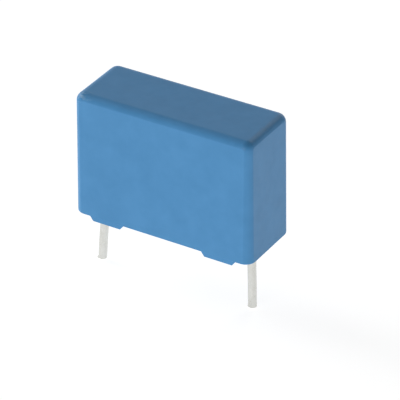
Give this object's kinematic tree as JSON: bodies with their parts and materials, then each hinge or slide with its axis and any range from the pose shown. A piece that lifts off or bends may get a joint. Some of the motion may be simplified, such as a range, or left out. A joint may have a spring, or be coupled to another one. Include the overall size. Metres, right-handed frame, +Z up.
{
  "type": "box film capacitor",
  "caption": "Box film capacitor: a drafted blue plastic case on low feet, potted with resin, with straight tinned wire leads below for a circuit board.",
  "frame": {"origin": "midway between the axes of the leads, on the plane that the feet rest on, which is the board's top face", "axes": "+Z points up from the board through the closed top, X runs along the row of leads, and -Y points out of the long side that the leads are nearer to"},
  "size_m": [0.018, 0.007, 0.0182],
  "materials": {
    "case_plastic": "moulded, satin, with a faint mottle",
    "potting_resin": "poured epoxy, smooth",
    "metallised_film": "silvery film edges",
    "plain_film": "clear film",
    "sprayed_zinc": "rough sprayed metal",
    "tinned_wire": "satin tin"
  },
  "bodies": {
    "root": {"case": "case_plastic", "potting_resin": "potting_resin", "film_winding": "metallised_film", "outer_wrap": "plain_film", "end_spray_left": "sprayed_zinc", "end_spray_right": "sprayed_zinc", "lead_left": "tinned_wire", "lead_right": "tinned_wire"}
  },
  "joints": []
}
